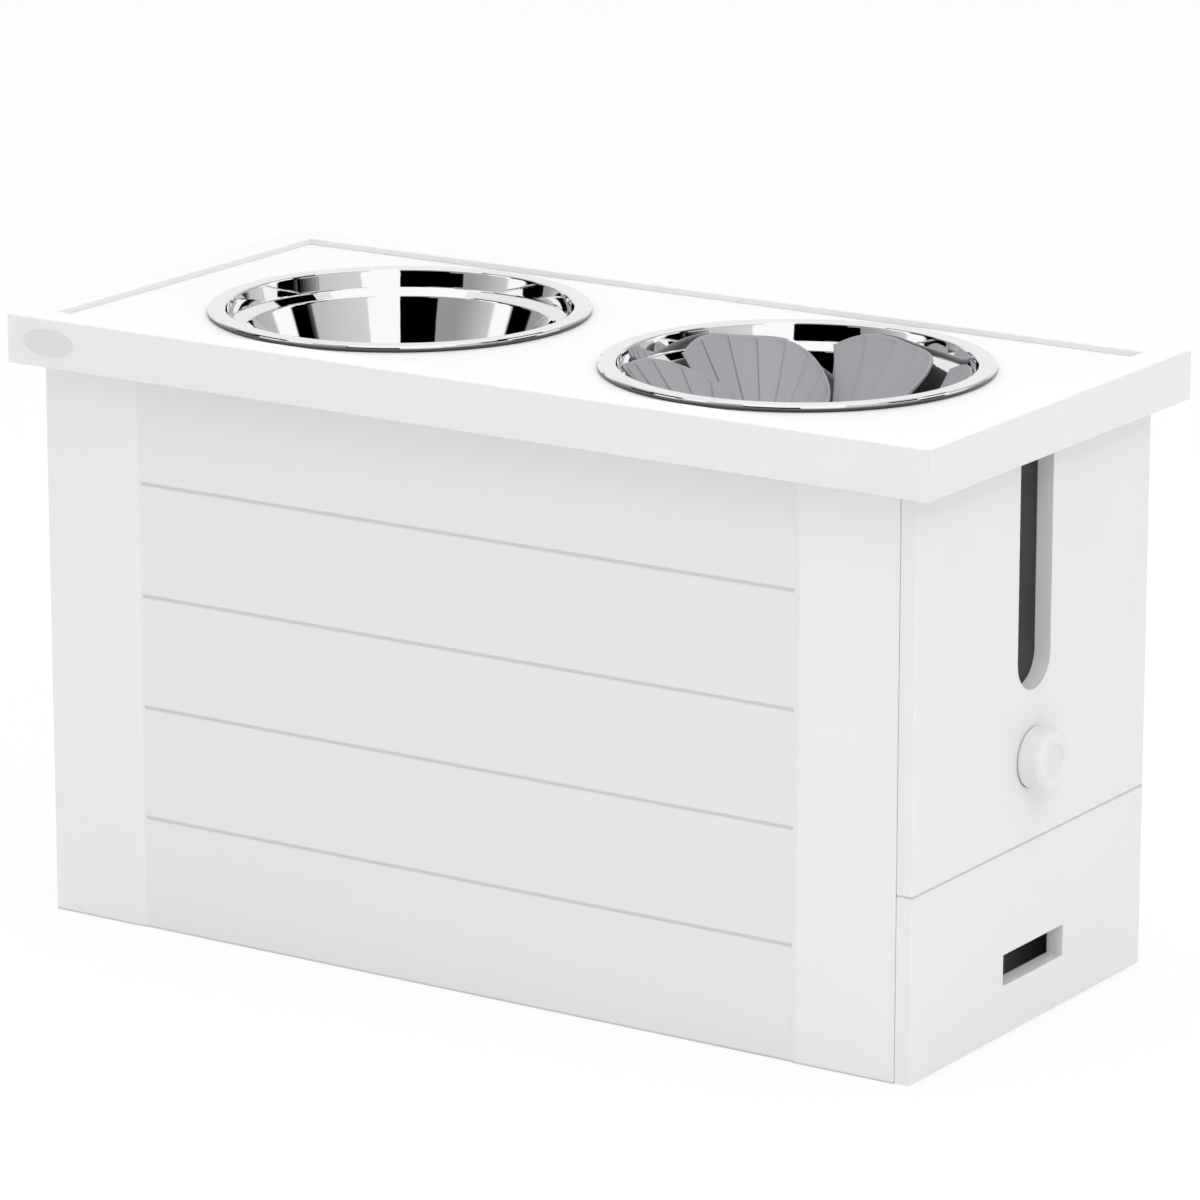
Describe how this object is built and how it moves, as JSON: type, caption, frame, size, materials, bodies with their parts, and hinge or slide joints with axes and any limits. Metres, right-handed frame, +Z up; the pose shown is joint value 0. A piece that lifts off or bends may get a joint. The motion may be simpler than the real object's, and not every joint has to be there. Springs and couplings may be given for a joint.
{
  "type": "elevated dog feeder with storage",
  "caption": "White cabinet with planked front, hinged lid carrying two steel bowls, one with a petal insert, and a dry-food hopper with viewing slot, pull gate and drawer.",
  "frame": {"origin": "on the floor, under the middle of the lid", "axes": "+X towards the drawer end, -Y towards the planked front, +Z up"},
  "size_m": [0.64, 0.302, 0.375],
  "materials": {
    "painted_board": "satin white lacquer on board",
    "inner_board": "unpainted board",
    "batten_wood": "planed",
    "zinc_fittings": "zinc plated",
    "steel_rod": "drawn",
    "polished_steel": "mirror polished stainless",
    "insert_plastic": "fine matt grey",
    "white_plastic": "smooth",
    "clear_pane": "clear acrylic"
  },
  "bodies": {
    "cabinet": {"front_panel": "painted_board", "back_panel": "painted_board", "left_side_panel": "painted_board", "right_side_panel": "painted_board", "bottom_board": "inner_board", "partition": "inner_board", "hopper_deck": "inner_board", "deck_battens": "batten_wood", "hopper_ramp_left": "inner_board", "hopper_ramp_right": "inner_board", "hopper_ramp_front": "inner_board", "hopper_ramp_back": "inner_board", "gate_guide_front": "batten_wood", "gate_guide_back": "batten_wood", "gate_guide_screws": "zinc_fittings", "window_pane": "clear_pane", "window_screws": "zinc_fittings", "cam_locks": "zinc_fittings", "cam_bolts": "zinc_fittings", "dowels": "batten_wood", "back_panel_screws": "zinc_fittings", "hinge_leaves_fixed": "zinc_fittings", "hinge_pins": "steel_rod", "hinge_screws_fixed": "zinc_fittings"},
    "lid": {"lid_top_panel": "painted_board", "lid_edge_front": "painted_board", "lid_edge_back": "painted_board", "lid_edge_left": "painted_board", "lid_edge_right": "painted_board", "mitre_splines": "batten_wood", "lid_batten": "batten_wood", "lid_batten_screws": "zinc_fittings", "hinge_leaves_moving": "zinc_fittings", "hinge_screws_moving": "zinc_fittings"},
    "bowl_left": {"bowl_left": "polished_steel"},
    "bowl_right": {"bowl_right": "polished_steel"},
    "insert": {"insert_base": "insert_plastic", "insert_petals": "insert_plastic"},
    "drawer": {"drawer_front": "painted_board", "drawer_side_front": "inner_board", "drawer_side_back": "inner_board", "drawer_inner_front": "inner_board", "drawer_end": "inner_board", "drawer_bottom": "inner_board", "drawer_cam_locks": "zinc_fittings", "drawer_cam_bolts": "zinc_fittings", "drawer_screws": "zinc_fittings"},
    "gate": {"gate_plate": "white_plastic", "gate_rod": "steel_rod", "pull_knob": "white_plastic"}
  },
  "joints": [
    {"name": "lid_hinge", "type": "hinge", "parent": "cabinet", "child": "lid", "pos_m": [0, 0.1365, 0.3415], "axis": [-1, 0, 0], "range_deg": [0, 105]},
    {"name": "bowl_left_lift", "type": "slide", "parent": "lid", "child": "bowl_left", "axis": [0, 0, 1], "range_m": [0, 0.1]},
    {"name": "bowl_right_lift", "type": "slide", "parent": "lid", "child": "bowl_right", "axis": [0, 0, 1], "range_m": [0, 0.1]},
    {"name": "insert_lift", "type": "slide", "parent": "bowl_right", "child": "insert", "axis": [0, 0, 1], "range_m": [0, 0.08]},
    {"name": "drawer_slide", "type": "slide", "parent": "cabinet", "child": "drawer", "axis": [1, 0, 0], "range_m": [0, 0.24]},
    {"name": "gate_pull", "type": "slide", "parent": "cabinet", "child": "gate", "axis": [1, 0, 0], "range_m": [0, 0.05]}
  ]
}
